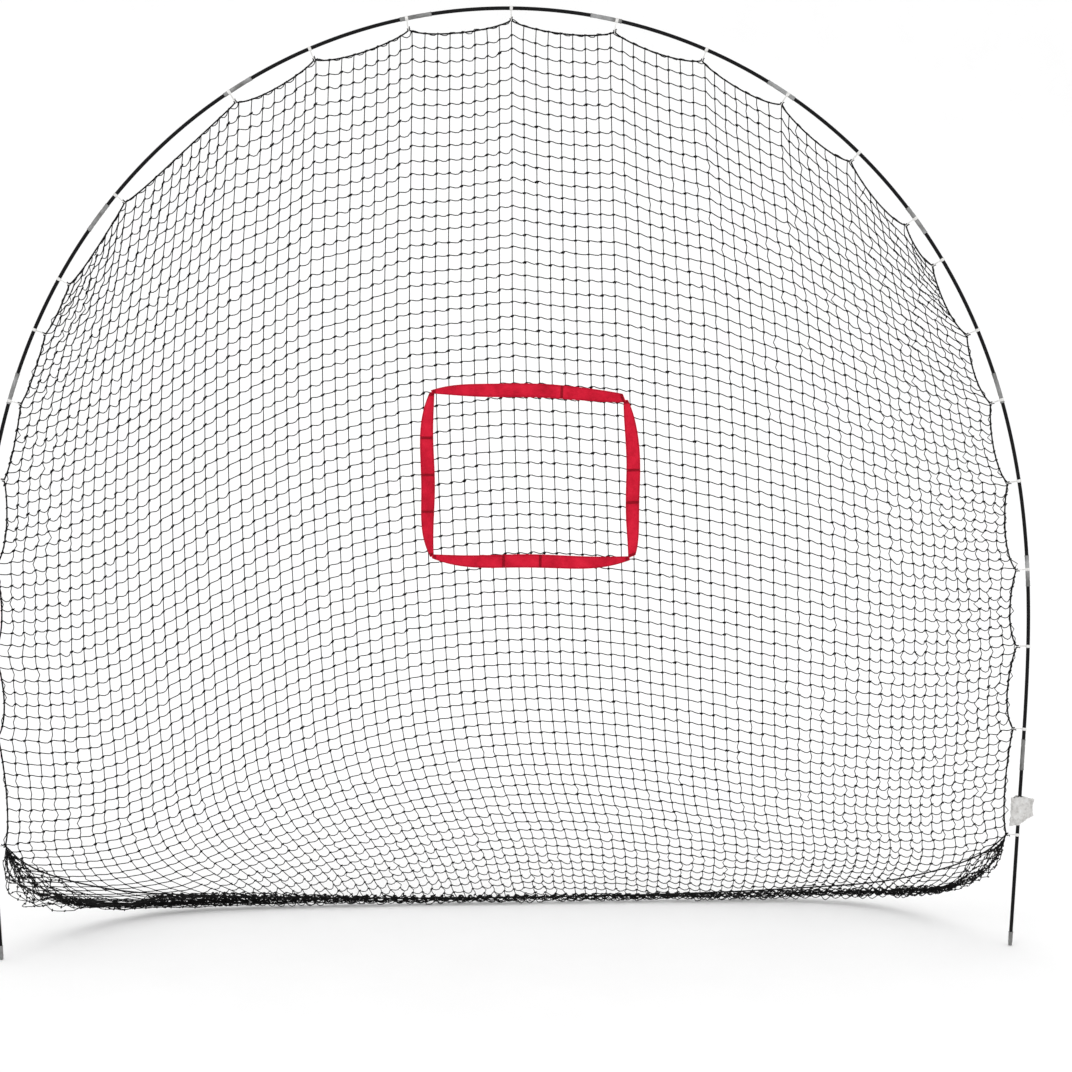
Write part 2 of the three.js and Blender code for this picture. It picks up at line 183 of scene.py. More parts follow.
def to_range(tree, source, low, high, from_low=0.0, from_high=1.0):
    made = tree.nodes.new("ShaderNodeMapRange")
    made.inputs["From Min"].default_value = from_low
    made.inputs["From Max"].default_value = from_high
    made.inputs["To Min"].default_value = low
    made.inputs["To Max"].default_value = high
    tree.links.new(source, made.inputs["Value"])
    return made.outputs["Result"]


def bump(tree, shader, height, strength, distance):
    made = tree.nodes.new("ShaderNodeBump")
    made.inputs["Strength"].default_value = strength
    made.inputs["Distance"].default_value = distance
    tree.links.new(height, made.inputs["Height"])
    tree.links.new(made.outputs["Normal"], shader.inputs["Normal"])


def math_node(tree, operation, a, b=None):
    made = tree.nodes.new("ShaderNodeMath")
    made.operation = operation
    for socket, value in zip(made.inputs, (a, b)):
        if value is None:
            continue
        if isinstance(value, (int, float)):
            socket.default_value = value
        else:
            tree.links.new(value, socket)
    return made.outputs["Value"]


def weighted_sum(tree, *terms):
    """The sum of some values, each times its weight."""
    scaled = [math_node(tree, "MULTIPLY", source, weight) for source, weight in terms]
    total = scaled[0]
    for value in scaled[1:]:
        total = math_node(tree, "ADD", total, value)
    return total


def uv_axes(tree):
    """The sweep's UV as two values: metres along and metres around."""
    uv = tree.nodes.new("ShaderNodeUVMap")
    uv.uv_map = "UVMap"
    split = tree.nodes.new("ShaderNodeSeparateXYZ")
    tree.links.new(uv.outputs["UV"], split.inputs["Vector"])
    return split.outputs["X"], split.outputs["Y"]


def scaled_uv(tree, along, around):
    """The sweep's UV (metres along, metres around), scaled."""
    uv = tree.nodes.new("ShaderNodeUVMap")
    uv.uv_map = "UVMap"
    mapping = tree.nodes.new("ShaderNodeMapping")
    mapping.inputs["Scale"].default_value = (along, around, 1)
    tree.links.new(uv.outputs["UV"], mapping.inputs["Vector"])
    return mapping.outputs["Vector"]


def object_noise(tree, scale, detail=4.0, roughness=0.55, vector=None):
    made = tree.nodes.new("ShaderNodeTexNoise")
    made.inputs["Scale"].default_value = scale
    made.inputs["Detail"].default_value = detail
    made.inputs["Roughness"].default_value = roughness
    if vector is None:
        vector = tree.nodes.new("ShaderNodeTexCoord").outputs["Object"]
    tree.links.new(vector, made.inputs["Vector"])
    return made.outputs["Fac"]


def fibreglass_material():
    made, tree, shader = new_material(
        "fibreglass_look", Specular_IOR_Level=0.10, Coat_Weight=0.02, Coat_Roughness=0.2)
    streaks = object_noise(tree, 1.0, 5, 0.6, scaled_uv(tree, 9, 900))
    scuffs = object_noise(tree, 1.0, 6, 0.75, scaled_uv(tree, 60, 260))
    patches = object_noise(tree, 7, 3)
    worn = math_node(tree, "MULTIPLY", scuffs, patches)
    paint(tree, shader, worn, [
        (0.24, (0.0035, 0.0035, 0.004)), (0.42, (0.008, 0.008, 0.0085)), (0.56, (0.055, 0.054, 0.052))])
    tree.links.new(to_range(tree, worn, 0.24, 0.62, 0.2, 0.55), shader.inputs["Roughness"])
    bump(tree, shader, streaks, 0.25, 0.0002)
    return made


def steel_material():
    made, tree, shader = new_material("steel_look", Metallic=1.0)
    brushed = object_noise(tree, 1.0, 5, 0.6, scaled_uv(tree, 1500, 120))
    tarnish = object_noise(tree, 24, 5, 0.6)
    paint(tree, shader, tarnish, [
        (0.30, (0.13, 0.13, 0.125)), (0.50, (0.26, 0.26, 0.258)), (0.72, (0.42, 0.425, 0.43))])
    tree.links.new(to_range(tree, brushed, 0.24, 0.50), shader.inputs["Roughness"])
    bump(tree, shader, brushed, 0.18, 0.0002)
    return made


def braid_height(tree, along, around):
    """Crossing diagonal strands: the higher of two slanted waves."""
    u, v = uv_axes(tree)
    u = math_node(tree, "MULTIPLY", u, TAU / along)
    v = math_node(tree, "MULTIPLY", v, TAU / around)
    left = math_node(tree, "SINE", math_node(tree, "ADD", u, v))
    right = math_node(tree, "SINE", math_node(tree, "SUBTRACT", u, v))
    return math_node(tree, "MAXIMUM", left, right)


def elastic_material():
    made, tree, shader = new_material("tie_elastic_look", Roughness=0.82, Sheen_Weight=0.25)
    braid = braid_height(tree, *TIE_BRAID_PITCH)
    grime = object_noise(tree, 120, 5, 0.65)
    # The braid's height also darkens the colour in the grooves between the strands: painted shade. The grime
    # noise is random dirt.
    mixed = weighted_sum(tree, (braid, 0.12), (grime, 1))
    paint(tree, shader, mixed, [
        (0.25, (0.50, 0.485, 0.455)), (0.48, (0.80, 0.79, 0.77)), (0.70, (0.90, 0.895, 0.885))])
    bump(tree, shader, braid, 0.6, 0.0003)
    return made


def black_fibre_material(name, dark, light, pitch, sheen, roughness):
    """Black twisted or braided fibre with paler broken filaments."""
    made, tree, shader = new_material(
        name, Roughness=roughness, Sheen_Weight=sheen, Specular_IOR_Level=0.12)
    braid = braid_height(tree, pitch, pitch)
    filaments = object_noise(tree, 1.0, 4, 0.7, scaled_uv(tree, 900, 4200))
    dust = object_noise(tree, 18, 5, 0.6)
    mixed = weighted_sum(tree, (filaments, 0.5), (dust, 0.5))
    broken = tuple(2.2 * c for c in light)
    paint(tree, shader, mixed, [(0.36, dark), (0.56, light), (0.76, broken)])
    bump(tree, shader, math_node(tree, "ADD", braid, filaments), 0.5, 0.0003)
    return made


def webbing_material():
    """Dyed woven webbing: weft ribs across the strap and warp threads along it."""
    made, tree, shader = new_material(
        "target_webbing_look", Roughness=0.62, Sheen_Weight=0.06, Specular_IOR_Level=0.12)
    shader.inputs["Sheen Tint"].default_value = (1.0, 0.45, 0.5, 1)
    u, v = uv_axes(tree)
    weft = math_node(tree, "SINE", math_node(tree, "MULTIPLY", u, TAU / WEFT_PITCH))
    warp = math_node(tree, "SINE", math_node(tree, "MULTIPLY", v, TAU / WARP_PITCH))
    weave = math_node(tree, "MULTIPLY", weft, warp)
    rib = math_node(tree, "ABSOLUTE", weft)
    height = weighted_sum(tree, (weave, 0.6), (rib, 1))
    dye = object_noise(tree, 22, 6, 0.65)
    threads = object_noise(tree, 1.0, 3, 0.7, scaled_uv(tree, 90, 1500))
    # The weave's height darkens the colour between the threads and ribs: painted shade. The dye and thread
    # noises are random tone.
    mixed = weighted_sum(tree, (height, 0.10), (dye, 0.55), (threads, 0.4))
    paint(tree, shader, mixed, [
        (0.36, (0.32, 0.001, 0.011)), (0.52, (0.60, 0.0045, 0.028)), (0.72, (0.78, 0.018, 0.050))])
    bump(tree, shader, height, 0.55, 0.0004)
    return made


def stitch_material():
    made, tree, shader = new_material(
        "stitch_look", Roughness=0.6, Sheen_Weight=0.03, Specular_IOR_Level=0.1)
    twist = object_noise(tree, 1.0, 2, 0.5, scaled_uv(tree, 2600, 1800))
    paint(tree, shader, twist, [(0.35, (0.22, 0.001, 0.008)), (0.65, (0.42, 0.003, 0.018))])
    bump(tree, shader, twist, 0.4, 0.0002)
    return made


def label_material():
    made, tree, shader = new_material(
        "label_film_look", Roughness=0.32, Transmission_Weight=0.12, Coat_Weight=0.3, Coat_Roughness=0.25)
    creases = tree.nodes.new("ShaderNodeTexVoronoi")
    creases.feature = "DISTANCE_TO_EDGE"
    creases.inputs["Scale"].default_value = 75
    coordinates = tree.nodes.new("ShaderNodeTexCoord")
    tree.links.new(coordinates.outputs["Object"], creases.inputs["Vector"])
    haze = object_noise(tree, 90, 6, 0.7)
    paint(tree, shader, haze, [
        (0.32, (0.46, 0.45, 0.43)), (0.50, (0.66, 0.65, 0.635)), (0.72, (0.80, 0.80, 0.79))])
    folded = weighted_sum(tree, (creases.outputs["Distance"], 1), (haze, 0.4))
    bump(tree, shader, folded, 0.5, 0.0012)
    return made


def floor_material():
    made, tree, shader = new_material("floor_look", Roughness=0.9, Specular_IOR_Level=0.1)
    mottle = object_noise(tree, 3, 3)
    paint(tree, shader, mottle, [(0.3, (0.965,) * 3), (0.7, (0.985,) * 3)])
    return made


LOOKS = {
    "fibreglass": fibreglass_material(),
    "steel": steel_material(),
    "tie_elastic": elastic_material(),
    "rope": black_fibre_material(
        "rope_look", (0.003, 0.003, 0.0033), (0.009, 0.0088, 0.009), 0.0016, 0.03, 0.7),
    "net_twine": black_fibre_material(
        "net_twine_look", (0.002, 0.002, 0.0022), (0.007, 0.0068, 0.007), 0.0012, 0.02, 0.75),
    "target_webbing": webbing_material(),
    "label_film": label_material(),
    "shock_cord": black_fibre_material(
        "shock_cord_look", (0.01, 0.01, 0.011), (0.05, 0.05, 0.052), 0.0014, 0.2, 0.7),
    "stitch": stitch_material(),
}


# ---- meshes
def unit(v):
    return v / np.maximum(np.linalg.norm(v, axis=-1, keepdims=True), 1e-12)


class Shell:
    """Swept tubes and grids gathered into one mesh of quads."""

    def __init__(self):
        self.points, self.quads, self.uvs, self.count = [], [], [], 0

    def grid(self, points, uv, wrap):
        """points and uv are (lines, rings, sides, ...) arrays; wrap joins the last side to the first."""
        lines, rings, sides = points.shape[:3]
        index = self.count + np.arange(lines * rings * sides).reshape(lines, rings, sides)
        after = np.roll(index, -1, 2) if wrap else index[:, :, 1:]
        here = index if wrap else index[:, :, :-1]
        quads = np.stack([here[:, :-1], after[:, :-1], after[:, 1:], here[:, 1:]], -1)
        step = uv[:, :, 1:2] - uv[:, :, :1] if wrap else 0
        uv_here = uv if wrap else uv[:, :, :-1]
        uv_after = uv + step if wrap else uv[:, :, 1:]
        loops = np.stack([uv_here[:, :-1], uv_after[:, :-1], uv_after[:, 1:], uv_here[:, 1:]], -2)
        self.points.append(points.reshape(-1, 3))
        self.quads.append(quads.reshape(-1, 4))
        self.uvs.append(loops.reshape(-1, 2))
        self.count += lines * rings * sides

    def sweep(self, paths, radii, sides, tangents=None, across=(0.03, 1.0, 0.02)):
        """Tubes along paths (lines, rings, 3). radii broadcasts to (lines, rings)."""
        paths = np.asarray(paths, float)
        if paths.ndim == 2:
            paths = paths[None]
            tangents = None if tangents is None else np.asarray(tangents)[None]
        if tangents is None:
            tangents = np.gradient(paths, axis=1)
        tangents = unit(tangents)
        across = np.broadcast_to(np.asarray(across, float), paths.shape)
        side = np.cross(tangents, across)
        weak = np.linalg.norm(side, axis=-1, keepdims=True) < 0.15
        side = unit(np.where(weak, np.cross(tangents, [0.02, 0.1, 1.0]), side))
        other = np.cross(tangents, side)
        radii = np.broadcast_to(np.asarray(radii, float), paths.shape[:2])[..., None, None]
        angle = np.arange(sides) / sides * TAU
        ring = np.cos(angle)[:, None] * side[..., None, :] + np.sin(angle)[:, None] * other[..., None, :]
        steps = np.linalg.norm(np.diff(paths, axis=1), axis=-1)
        along = np.concatenate([np.zeros((len(paths), 1)), np.cumsum(steps, 1)], 1)
        around = angle * float(np.max(radii))
        uv = np.stack(np.broadcast_arrays(along[..., None], around), -1)
        self.grid(paths[..., None, :] + radii * ring, uv, True)

    def slab(self, front, back, along, across, thickness):
        """A thin sheet with closed ends. along and across are its UV in metres."""
        there_and_back = np.concatenate([across, across[::-1]])
        uv = np.stack(np.broadcast_arrays(along[:, None], there_and_back[None]), -1)
        self.grid(np.concatenate([front, back[:, ::-1]], 1)[None], uv[None], True)
        for end in (0, -1):
            cap_uv = np.stack(np.broadcast_arrays(np.array([[0.0], [thickness]]), across), -1)
            self.grid(np.stack([front[end], back[end]], 0)[None], cap_uv[None], False)

    def build(self, name, look, body, replaces=()):
        """Makes the gathered mesh a piece that rides on a body and replaces CAD nodes."""
        points, quads, uvs = (np.concatenate(a) for a in (self.points, self.quads, self.uvs))
        mesh = bpy.data.meshes.new(name)
        mesh.vertices.add(len(points))
        mesh.vertices.foreach_set("co", points.astype(np.float32).ravel())
        mesh.loops.add(4 * len(quads))
        mesh.loops.foreach_set("vertex_index", quads.astype(np.int32).ravel())
        mesh.polygons.add(len(quads))
        mesh.polygons.foreach_set("loop_start", np.arange(0, 4 * len(quads), 4, dtype=np.int32))
        mesh.polygons.foreach_set("use_smooth", np.ones(len(quads), bool))
        layer = mesh.uv_layers.new(name="UVMap")
        layer.data.foreach_set("uv", uvs.astype(np.float32).ravel())
        mesh.update(calc_edges=True)
        mesh.materials.append(LOOKS[look])
        piece = bpy.data.objects.new(name, mesh)
        bpy.context.scene.collection.objects.link(piece)
        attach(piece, body)
        if replaces:
            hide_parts(*replaces)
        return piece


def hoop_sweep(shell, profile, sides):
    """A turned shape round the hoop's curved centreline. profile is a list of (s, radius)."""
    stations = np.array([p[0] for p in profile])
    radii = np.array([p[1] for p in profile])
    shell.sweep(hoop_point(stations), radii, sides, tangent_at(stations), (0, 1, 0))


# ---- poles, ferrules and tips
POLE_SIDES = 20
POLE_RINGS = 47
STEEL_SIDES = 28
POLE_CHAMFER = 0.0005
BORE_DEPTH = 0.03
FERRULE_RADIUS = 0.0052
FERRULE_BORE = 0.00462
TIP_CLEARANCE = 0.0003
LEG_END_GAP = 0.0005
SHOCK_CORD_RADIUS = 0.0015
SHOCK_CORD_END_GAP = 0.002
SHOCK_CORD_RINGS = 420


def pole_profile(start, end):
    """A tube from station start to station end, with chamfered ends and a short way into its bore."""
    rim = POLE_RADIUS - POLE_CHAMFER
    inner = [(start + BORE_DEPTH, POLE_BORE_RADIUS), (start, POLE_BORE_RADIUS), (start, rim)]
    body = [(s, POLE_RADIUS) for s in np.linspace(start + POLE_CHAMFER, end - POLE_CHAMFER, POLE_RINGS)]
    outer = [(end, rim), (end, POLE_BORE_RADIUS), (end - BORE_DEPTH, POLE_BORE_RADIUS)]
    return inner + body + outer


def ferrule_profile(middle):
    """A steel sleeve: a seam at its middle, a crimp either side of it, and rolled ends."""
    half = FERRULE_LENGTH / 2
    side = [(0.0, 0.0), (0.0012, -0.0003), (0.0024, 0.0), (0.0195, 0.0), (0.0205, -0.00035),
            (0.0222, -0.00042), (0.0239, -0.00035), (0.0249, 0.0), (half - 0.0032, 0.0),
            (half - 0.0022, 0.00045), (half - 0.0008, 0.0005), (half - 0.0001, 0.0002)]
    right = [(middle + s, FERRULE_RADIUS + r) for s, r in side] + [(middle + half, FERRULE_BORE)]
    left = [(2 * middle - s, r) for s, r in reversed(right[1:])]
    return [(middle - 0.001, FERRULE_BORE)] + left + right + [(middle + 0.001, FERRULE_BORE)]


def tip_profile(sign):
    """A blunt steel foot: its nose, a groove, and a rolled mouth that takes the leg."""
    foot = HALF_LENGTH - TIP_CLEARANCE
    steps = [(0.0, 0.0001), (0.0, 0.0036), (0.0004, 0.0043), (0.0014, 0.0047), (0.006, 0.0051),
             (0.009, 0.00535), (0.0135, 0.0054), (0.0150, 0.0051), (0.0165, 0.0054), (0.031, 0.0054),
             (0.0322, 0.00585), (0.0336, 0.00585), (TIP_LENGTH, 0.0055), (TIP_LENGTH, 0.00465),
             (0.016, 0.00465)]
    return [(sign * (foot - s), r) for s, r in steps]


def make_hoop():
    middle = SECTION_LENGTH / 2 - JOINT_GAP
    sections = [("crown_pole", "hoop", -middle, middle)]
    for side, sign in (("right", 1), ("left", -1)):
        for k in range(1, SECTIONS_PER_SIDE + 1):
            joint = SECTION_LENGTH * (k - 0.5)
            is_leg = k == SECTIONS_PER_SIDE
            end = HALF_LENGTH - TIP_NOSE - LEG_END_GAP if is_leg else joint + SECTION_LENGTH - JOINT_GAP
            low, high = sorted((sign * (joint + JOINT_GAP), sign * end))
            name, body = (f"{side}_leg_pole", f"{side}_leg") if is_leg else (f"{side}_pole_{k}", "hoop")
            sections.append((name, body, low, high))
            ferrule = Shell()
            hoop_sweep(ferrule, ferrule_profile(sign * joint), STEEL_SIDES)
            replaced = f"{side}_ferrule_{k}"
            ferrule.build(f"{replaced}_rolled", "steel", "hoop", [replaced])
        tip = Shell()
        hoop_sweep(tip, tip_profile(sign), STEEL_SIDES)
        tip.build(f"{side}_foot_tip_rolled", "steel", f"{side}_leg", [f"{side}_foot_tip"])
    for name, body, low, high in sections:
        pole = Shell()
        hoop_sweep(pole, pole_profile(low, high), POLE_SIDES)
        pole.build(f"{name}_smooth", "fibreglass", body, [name])


def make_shock_cord():
    end = HALF_LENGTH - TIP_NOSE - SHOCK_CORD_END_GAP
    stations = np.linspace(-end, end, SHOCK_CORD_RINGS)
    radii = np.full(len(stations), SHOCK_CORD_RADIUS)
    radii[[0, -1]] = 0.0002  # closes the ends
    cord = Shell()
    cord.sweep(hoop_point(stations), radii, 10, tangent_at(stations), (0, 1, 0))
    cord.build("shock_cord_braided", "shock_cord", "hoop", ["shock_cord"])


# ---- ropes and ties
ROPE_LAY = 0.011
STRAND_OFFSET = 0.00106
STRAND_RADIUS = 0.00110
STRAND_STEP = 0.0018
STRAND_SIDES = 5
SCALLOP = 0.4
SCALLOP_SHAPE = 0.72
SCALLOP_SKEW = 0.16
LOW_SCALLOP = 0.45  # the lowest spans hang less slack, and so does the left shoulder
LOW_SCALLOP_FROM = 2.4385
LEFT_SHOULDER_SCALLOP = 0.5
LEFT_SHOULDER = (-1.812, -0.707)
BORDER_POINTS = 2400
END_KNOT_SIZE = 0.0065
KNOT_SIZE = 0.0052


def scallop_at(s):
    """How far the border rope bows inward of its ties.

    It drops steeply below a tie and swings out to the next."""
    s = np.asarray(s, float)
    k = np.clip(np.searchsorted(TIE_STATIONS, s, side="right") - 1, 0, len(TIE_STATIONS) - 2)
    span = TIE_STATIONS[k + 1] - TIE_STATIONS[k]
    part = np.clip((s - TIE_STATIONS[k]) / span, 0, 1)
    down = np.sign(s) * np.sin(turn_at(s))
    part = np.clip(part - SCALLOP_SKEW * down * 4 * part * (1 - part) * 0.5, 0, 1)
    bow = (4 * part * (1 - part)) ** SCALLOP_SHAPE / 4
    taut = np.where(np.abs(s) > LOW_SCALLOP_FROM, LOW_SCALLOP, 1.0)
    taut = np.where((s > LEFT_SHOULDER[0]) & (s < LEFT_SHOULDER[1]), LEFT_SHOULDER_SCALLOP, taut)
    return SCALLOP * span * bow * taut


def border_point(s):
    return hoop_point(s, ROPE_REACH + scallop_at(s))


def run_along(points):
    """Each point's distance along a line."""
    return np.concatenate([[0], np.cumsum(np.linalg.norm(np.diff(points, axis=0), axis=1))])


def place_along(points, distance):
    run = run_along(points)
    return np.stack([np.interp(distance, run, points[:, k]) for k in range(3)], -1)


def resample(points, step):
    """The same line with points about a step apart."""
    length = run_along(points)[-1]
    return place_along(points, np.linspace(0, length, max(int(length / step), 2) + 1))


def smooth_path(points, rounds=3):
    """Rounds a few control points into a curve (corner cutting), ends kept."""
    points = np.asarray(points, float)
    for _ in range(rounds):
        cut = np.empty((2 * len(points) - 2, 3))
        cut[0::2] = 0.75 * points[:-1] + 0.25 * points[1:]
        cut[1::2] = 0.25 * points[:-1] + 0.75 * points[1:]
        points = np.vstack([points[:1], cut, points[-1:]])
    return points


def twisted_rope(shell, centre):
    """Three strands laid round each other along a centreline."""
    centre = resample(centre, STRAND_STEP)
    tangents = unit(np.gradient(centre, axis=0))
    side = np.cross(tangents, [0.03, 1.0, 0.02])
    weak = np.linalg.norm(side, axis=-1, keepdims=True) < 0.2
    side = unit(np.where(weak, np.cross(tangents, [0.0, 0.05, 1.0]), side))
    other = np.cross(tangents, side)
    run = np.arange(len(centre)) * STRAND_STEP
    taper = np.minimum(1, np.minimum(run, run[-1] - run) / 0.004)
    for k in range(3):
        phase = (run / ROPE_LAY + k / 3) * TAU
        path = centre + STRAND_OFFSET * (np.cos(phase)[:, None] * side + np.sin(phase)[:, None] * other)
        shell.sweep(path, STRAND_RADIUS * np.clip(taper, 0.15, 1), STRAND_SIDES)


def knot_at(shell, place, along, across, size):
    """A rope hitch: three wraps round the rope and a short tail."""
    along, across = unit(np.asarray(along)), unit(np.asarray(across))
    third = np.cross(along, across)
    turns = np.linspace(0, 3 * TAU, 40)
    spread = np.linspace(-1, 1, 40)[:, None] * size * 0.55
    wrap = np.cos(turns)[:, None] * across + np.sin(turns)[:, None] * third
    shell.sweep(place + along * spread + size * 0.5 * wrap, 0.0013, 6, across=along)
    tail = np.linspace(0, 1, 7)[:, None]
    path = place + across * size * (0.3 + tail) + along * size * 0.8 * tail ** 2
    path = path + third * size * 0.4 * tail
    shell.sweep(path, np.array([0.0015] * 6 + [0.0004]), 6, across=third)


def make_ropes():
    border = Shell()
    stations = np.linspace(TIE_STATIONS[0], TIE_STATIONS[-1], BORDER_POINTS)
    twisted_rope(border, border_point(stations))
    border.build("border_rope_twisted", "rope", "hoop", ["border_rope"])
    bottom = Shell()
    twisted_rope(bottom, bottom_rope_path())
    bottom.build("bottom_rope_twisted", "rope", "hoop", ["bottom_rope"])
    knots = Shell()
    for s in TIE_STATIONS:
        size = END_KNOT_SIZE if s in (TIE_STATIONS[0], TIE_STATIONS[-1]) else KNOT_SIZE
        knot_at(knots, hoop_point(s, ROPE_REACH), tangent_at(s), -inward_at(s), size)
    knots.build("rope_knots", "rope", "hoop")


# A tie's band round the pole: station from its middle, radius.
TIE_BAND = [(-0.0036, 0.00462), (-0.0036, 0.0053), (-0.0031, 0.0057), (-0.0012, 0.0059), (0.001, 0.0058),
            (0.0031, 0.0057), (0.0036, 0.0053), (0.0036, 0.00462)]
TIE_CROWN = 3  # the band's point that differs from tie to tie
TIE_CORD_RADIUS = 0.0010
TIE_HOOK_RADIUS = 0.0030


def make_ties():
    """Elastic loops: a band round the pole, and two cords that hook round the rope."""
    rng = np.random.default_rng(11)
    names = [f"left_tie_{k}" for k in range(len(LEFT_TIES), 0, -1)] + ["top_tie"]
    names += [f"right_tie_{k}" for k in range(1, len(RIGHT_TIES) + 1)]
    for name, s in zip(names, TIE_STATIONS):
        tie = Shell()
        lean = rng.uniform(-0.0006, 0.0006)
        band = [(s + d + lean, r + (lean * 0.3 if k == TIE_CROWN else 0))
                for k, (d, r) in enumerate(TIE_BAND)]
        hoop_sweep(tie, band, 24)
        inward, along = inward_at(s), tangent_at(s)
        centre, rope = hoop_point(s), hoop_point(s, ROPE_REACH)
        part = np.linspace(0, 1, 12)[:, None]
        for side in (-1, 1):
            start = centre + inward * 0.0048 + np.array([0, side * 0.0026, 0]) + along * lean
            end = rope + np.array([0, side * TIE_HOOK_RADIUS, 0])
            slack = np.array([0, side * 0.0012, 0]) + along * rng.uniform(-0.001, 0.001)
            bow = 4 * part * (1 - part) * slack
            tie.sweep(start + (end - start) * part + bow, TIE_CORD_RADIUS, 8, across=along)
        angle = np.linspace(-0.1, math.pi + 0.1, 14)[:, None]
        hook = rope + TIE_HOOK_RADIUS * (np.array([0, 1, 0]) * np.cos(angle) + inward * np.sin(angle))
        tie.sweep(hook, TIE_CORD_RADIUS, 8, across=along)
        tie.build(f"{name}_elastic", "tie_elastic", "hoop", [name])


# ---- netting
MESH = 0.0312  # from knot to knot
NET_CELLS = 84
LEFT_KNOT_ROW = 50  # the row tied to the lowest left tie
RIGHT_KNOT_ROW = 63
BODY_ROWS = 74
HEM_ROWS = 6  # more rows, folded into the gathered hem
NET_ROWS = BODY_ROWS + HEM_ROWS
LEFT_CORNER = -1.310  # the stations of the flat net's top corners
RIGHT_CORNER = 1.251
CORNER_GATHER = 0.95
HEM_STEP = 0.024
RIGHT_HEM_STEP = HEM_STEP * 1.15
FLOOR_GAP = 0.0022
FOLD_DEPTH = 0.014
FOLD_RISE = 0.0030
HEM_FOLD_DEPTH = 0.012
HEM_MESS = (0.010, 0.012, 0.010)  # how far the gathered knots stray in x, y, z
BODY_WAVER = 0.004
SMOOTH_ROUNDS = 250
SPARE = 1.004
SLACKEST = 0.45  # the shortest a mesh may start, as a share of its size
RELAX_STEPS = 300
RELAX_ROUNDS = 8
GRAVITY_STEP = 0.00010
DAMPING = 0.94
TWINE_RADIUS = 0.00118
UPRIGHT_TWINE_RADIUS = TWINE_RADIUS * 0.92
TWINE_SIDES = 4
MOST_TWINE_BOW = 0.010
UPRIGHT_SWAY = np.array([0.5, 0.5, 0.05])
TWINE_SAG = [(0, 0.25), (0, 0.35), (-0.75, 0.25)]  # mean and spread of a cross twine's bow in x, y, z
HOOK_SIZE = 0.0021  # how far a cross twine steps up or down at a knot
KNOT_RADIUS = 0.0022
KNOT_TURNS = [(-1.7, -1.1), (-0.5, 0.25), (0.5, -0.25), (1.7, 1.1)]

# From the right corner knot back and down to the hem's middle: x, depth behind the hoop, height.
HEM_RIGHT = [(1.207, 0.085, 0.165), (1.140, 0.225, 0.084), (1.040, 0.370, 0.040), (0.900, 0.468, 0.018),
             (0.700, 0.500, 0.010), (0.350, 0.508, 0.008), (0.0, 0.508, 0.008)]
HEM_SLANT = 0.010
BOTTOM_ROPE_RIGHT = [(1.190, 0.075, 0.215), (1.115, 0.190, 0.150), (0.985, 0.330, 0.085),
                     (0.850, 0.430, 0.052), (0.600, 0.490, 0.026), (0.300, 0.500, 0.018), (0.0, 0.500, 0.016)]


def mirrored_line(right_half):
    """From the left corner knot to the right one, through places given for the right half."""
    right = [tuple(hoop_point(TIE_STATIONS[-1], ROPE_REACH))]
    right += [(x, HOOP_Y + depth, z) for x, depth, z in right_half]
    left = [(-x, y, z) for x, y, z in right[:-1]]
    return np.array(left + right[::-1])


def hem_path():
    """The line of the gathered hem, from the left corner knot over the floor to the right corner knot."""
    line = mirrored_line(HEM_RIGHT)
    line[:, 1] += HEM_SLANT * line[:, 0] * np.clip((line[:, 1] - HOOP_Y) / 0.3, 0, 1)
    return resample(smooth_path(line, 3), 0.004)


def bottom_rope_path():
    """The bottom rope: above the bundle at the corners, then inside the gathered hem."""
    return smooth_path(mirrored_line(BOTTOM_ROPE_RIGHT), 3)


def smooth_noise(rng, shape, size):
    """Random numbers from -1 to 1 that change over about size cells."""
    noise = rng.normal(size=shape)
    for axis, reach in enumerate(size):
        if reach > 0:
            kernel = np.hanning(2 * reach + 3)[1:-1]
            noise = np.apply_along_axis(lambda a: np.convolve(a, kernel / kernel.sum(), "same"), axis, noise)
    return noise / max(np.abs(noise).max(), 1e-9)


def side_stations(corner, knot, rows):
    """The net is gathered a little more just below its top corners than near the ground."""
    gaps = np.linspace(CORNER_GATHER, 2 - CORNER_GATHER, rows)
    run = np.concatenate([[0], np.cumsum(gaps)]) / gaps.sum()
    return corner + (knot - corner) * run


FOLDS = np.array([-0.9, 0.8, -0.35, 0.95, -1.0, 0.45, -0.6, 0.9])
ENTRY_PLACES = [-1, -0.93, -0.80, -0.40, 0.0, 0.50, 0.80, 0.93, 1]  # -1 is the left edge, 1 the right
ENTRY_ROWS = [74, 64, 63, 70, 74, 74, 71, 71, 74]


def hem_entry():
    """The row at which each column reaches the gathered hem. The rest of it lies folded in the hem."""
    u = np.linspace(-1, 1, NET_CELLS + 1)
    return np.minimum(np.interp(u, ENTRY_PLACES, ENTRY_ROWS), BODY_ROWS)


def sample_rows(side, place):
    """The side's points at shares of its length, one for each knot of the net."""
    at = place * (len(side) - 1)
    return np.stack([np.interp(at, np.arange(len(side)), side[:, k]) for k in range(3)], -1)


